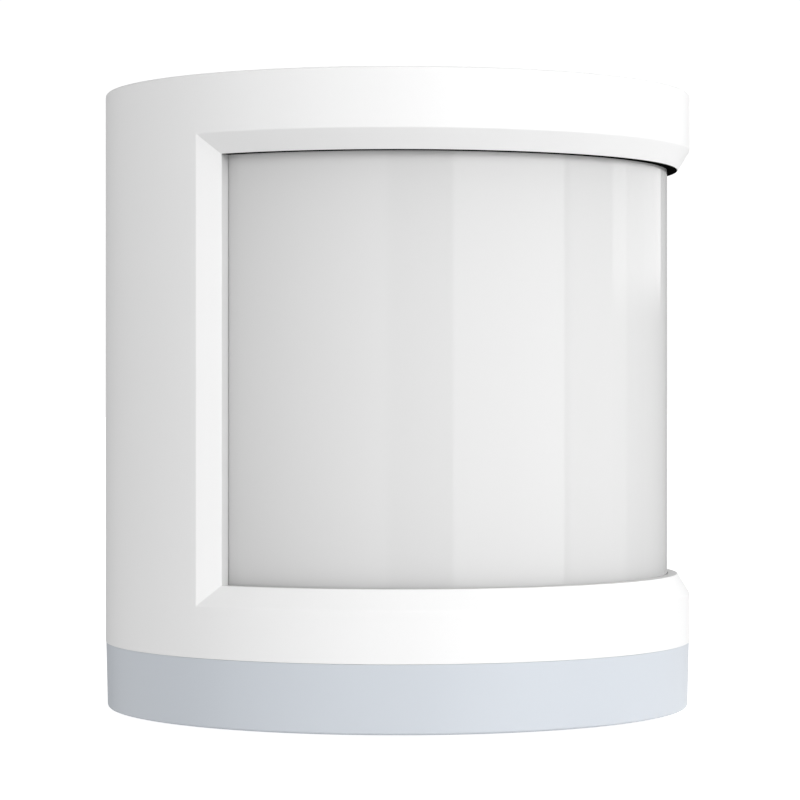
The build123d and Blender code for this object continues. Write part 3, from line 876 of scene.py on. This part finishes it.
def make_can():
    outer, inner, top = can_high.x, can_high.x - sheet, can_high.z
    outline = (
        (centre_radius, can_low.z),
        (floor_ring[0], can_low.z),
        (floor_ring[1], can_low.z + floor_ring_rise),
        (floor_ring[2], can_low.z + floor_ring_rise),
        (floor_ring[3], can_low.z),
        (outer, can_low.z),
        (outer, top - 0.5),
        (outer - 0.12, top - 0.18),
        (outer - 0.45, top),
        (outer - crimp, top - 0.05),
        (outer - crimp, top - sheet),
        (inner, top - sheet),
        (inner, can_low.z + sheet),
        (centre_radius, can_low.z + sheet),
    )
    can = turned("coin_cell_can", outline)
    round_rims(can, ((outer, can_low.z),), can_corner, 4)
    return can


def make_lid():
    outer, top = lid_high.x, lid_high.z
    outline = (
        (centre_radius, top),
        (outer - lid_step, top),
        (outer - lid_step + 0.35, top - 0.08),
        (outer - 0.2, top - 0.1),
        (outer, top - 0.22),
        (outer, lid_low.z),
        (centre_radius, lid_low.z),
    )
    lid = turned("coin_cell_lid", outline)
    round_rims(lid, ((outer - lid_step, top),), 0.1)
    return lid


cell_steel = pressed_steel()
for make, node in ((make_can, "cell_can"), (make_lid, "cell_lid")):
    pressing = make()
    smooth(pressing, 30)
    wear(pressing, cell_steel)
    settle(pressing, "coin_cell", "cell_steel", node)


# ---- Chassis, retainer and other white inner mouldings ----------------------------------------
# Unpainted ABS mouldings that nobody sees in use: coarser texture, visible flow clouds.
inner_white = moulded("inner_white", (0.66, 0.66, 0.63, 1), 0.5, 0.2, 0.003)
for name in ("chassis", "lens_retainer", "detector_spacer", "reset_plunger"):
    wear(nodes[name], inner_white)
wear(nodes["cell_gasket"], moulded("cell_ring", grey(0.1), 0.45, 0.15, 0.002))


# ---- Circuit boards ---------------------------------------------------------------------------
# Glass-epoxy laminate under green solder mask: copper tracks stand a little proud and lighter.
def board_laminate():
    material, field, place = new_finish("board_laminate")
    tracks = field.node(
        "TexBrick", {"offset": 0.37, "squash": 1.6, "squash_frequency": 3},
        {"Vector": place, "Scale": 420.0, "Mortar Size": 0.05, "Mortar Smooth": 0.2, "Bias": 0.0},
        output="Fac",
    )
    weave = field.noise(place, 0.3, 3)
    mask = tracks.tint((0.008, 0.10, 0.03, 1), (0.02, 0.20, 0.07, 1))
    tone = weave.tint((0.006, 0.075, 0.024, 1), mask)
    coat(field, tone, 0.25 + weave * 0.15, tracks + weave * 0.2, 0.02, {"Coat Weight": 0.3})
    return material


laminate = board_laminate()
for name in ("main_board", "sensor_board"):
    wear(nodes[name], laminate)


# ---- Metal pieces -------------------------------------------------------------------------------
# Pressed, drawn or plated metal, each with fine rolling marks and slightly uneven brightness.
def plated(name, colour, roughness, streak):
    """Metal whose rolling marks run along x, streak times longer than they are wide."""
    material, field, place = new_finish(name)
    stretched = field.node("Mapping", None, {"Vector": place, "Scale": (1 / streak, 1, 1)})
    marks = field.noise(stretched, 0.12, 4)
    cloud = field.noise(place, 3.0)
    dark = tuple(channel * 0.82 for channel in colour[:3]) + (1,)
    tone = (marks * 0.5 + cloud * 0.5).tint(dark, colour)
    coat(field, tone, roughness - 0.08 + marks * 0.16, marks, 0.002, {"Metallic": 1.0})
    return material


plated_nodes = (
    ("nickel_can", (0.68, 0.66, 0.61, 1), 0.22, 3, ("detector_can", "detector_header", "crystal")),
    ("tinned_steel", (0.66, 0.66, 0.65, 1), 0.34, 12, ("radio_shield",)),
    ("spring_steel", (0.60, 0.59, 0.55, 1), 0.30, 12, ("contact_negative", "contact_positive")),
    ("gold_lead", (0.80, 0.58, 0.24, 1), 0.28, 4, ("detector_leads", "header_pins")),
    ("screw_steel", (0.50, 0.50, 0.50, 1), 0.36, 2, ("chassis_screws",)),
)
for name, colour, roughness, streak, worn_by in plated_nodes:
    metal = plated(name, colour, roughness, streak)
    for node in worn_by:
        wear(nodes[node], metal)


# ---- Chips and other moulded or fired components ------------------------------------------------
# Epoxy-moulded chips, fired ceramic blocks, the dark filter of the detector and the clear light.
chip_black = moulded("moulded_black", grey(0.03), 0.5, 0.1, 0.004)
for name in ("pin_carrier", "light_sensor", "microcontroller", "radio_chip", "supply_capacitor",
             "chip_resistors", "switch_body"):
    wear(nodes[name], chip_black)
wear(nodes["cell_pellet"], moulded("cell_fill", grey(0.06), 0.8, 0.3, 0.02))
fired = moulded("chip_ceramic", (0.50, 0.37, 0.25, 1), 0.55, 0.15, 0.004)
for name in ("chip_capacitors", "chip_antenna"):
    wear(nodes[name], fired)
wear(nodes["detector_element"], moulded("element_ceramic", (0.42, 0.38, 0.34, 1), 0.6, 0.15, 0.003))
wear(nodes["detector_filter"], moulded("filter_dark", (0.02, 0.02, 0.028, 1), 0.16, 0.5, 0.0003))
wear(nodes["status_light"], moulded("light_clear", (0.78, 0.80, 0.84, 1), 0.2, 0.4, 0.0006))
